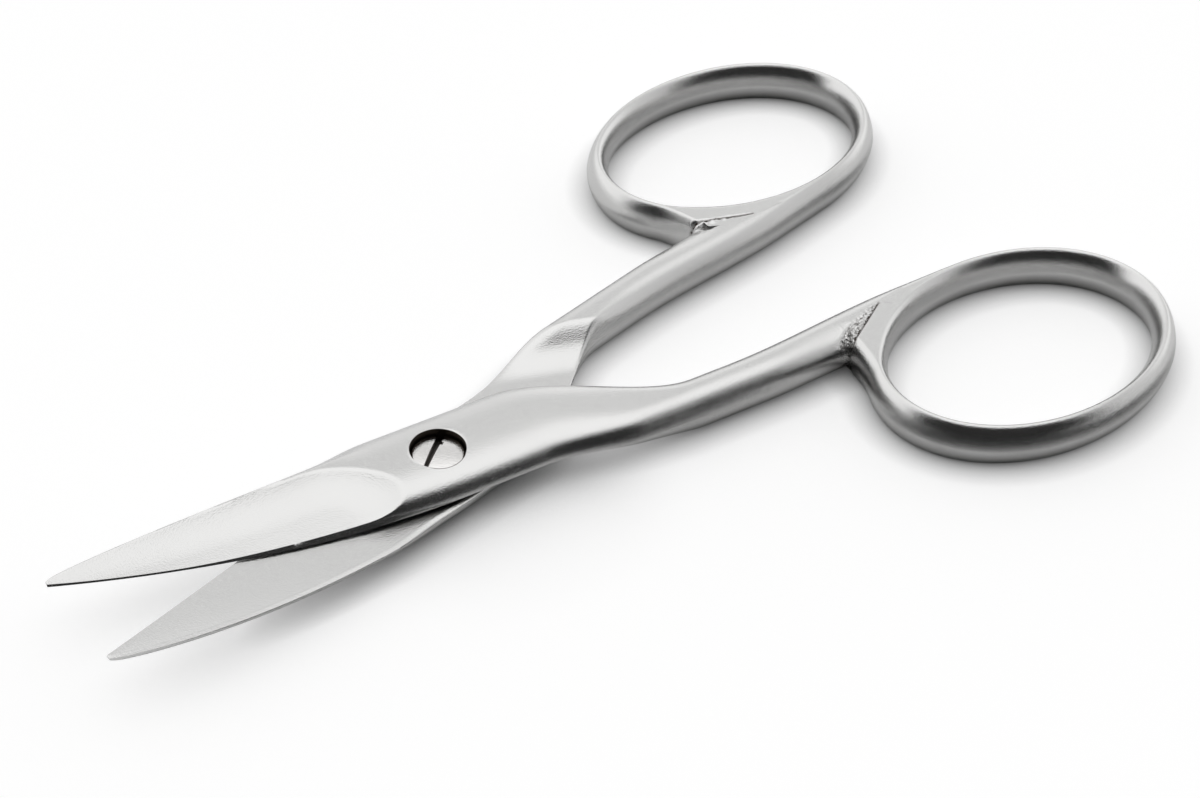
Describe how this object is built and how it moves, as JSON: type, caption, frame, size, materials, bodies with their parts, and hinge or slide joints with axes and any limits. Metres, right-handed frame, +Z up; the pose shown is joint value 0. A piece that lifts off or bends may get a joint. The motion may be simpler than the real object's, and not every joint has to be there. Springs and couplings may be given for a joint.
{
  "type": "nail scissors",
  "caption": "Small curved nail scissors: two ground steel halves with oval finger bows, turning on a slotted pivot screw sunk flush in the joint.",
  "frame": {"origin": "on the pivot axis, at the underside of the joint: the flush end of the pivot screw, which is the level that the scissors lie on", "axes": "+Z up along the pivot axis, towards the screw's head; +X along the middle line between the two halves, towards the finger bows, so the blades point along -X; the scissors lie flat and partly open"},
  "size_m": [0.0874, 0.0546, 0.0054],
  "materials": {
    "satin_steel": "satin, fine ground lines on the blades",
    "polished_steel": "polished"
  },
  "bodies": {
    "lower": {"lower_half": "satin_steel", "pivot_screw": "polished_steel"},
    "upper": {"upper_half": "satin_steel"}
  },
  "joints": [
    {"name": "pivot", "type": "hinge", "parent": "lower", "child": "upper", "pos_m": [0, 0, 0.002], "axis": [0, 0, 1], "range_deg": [-110, 15.8]}
  ]
}
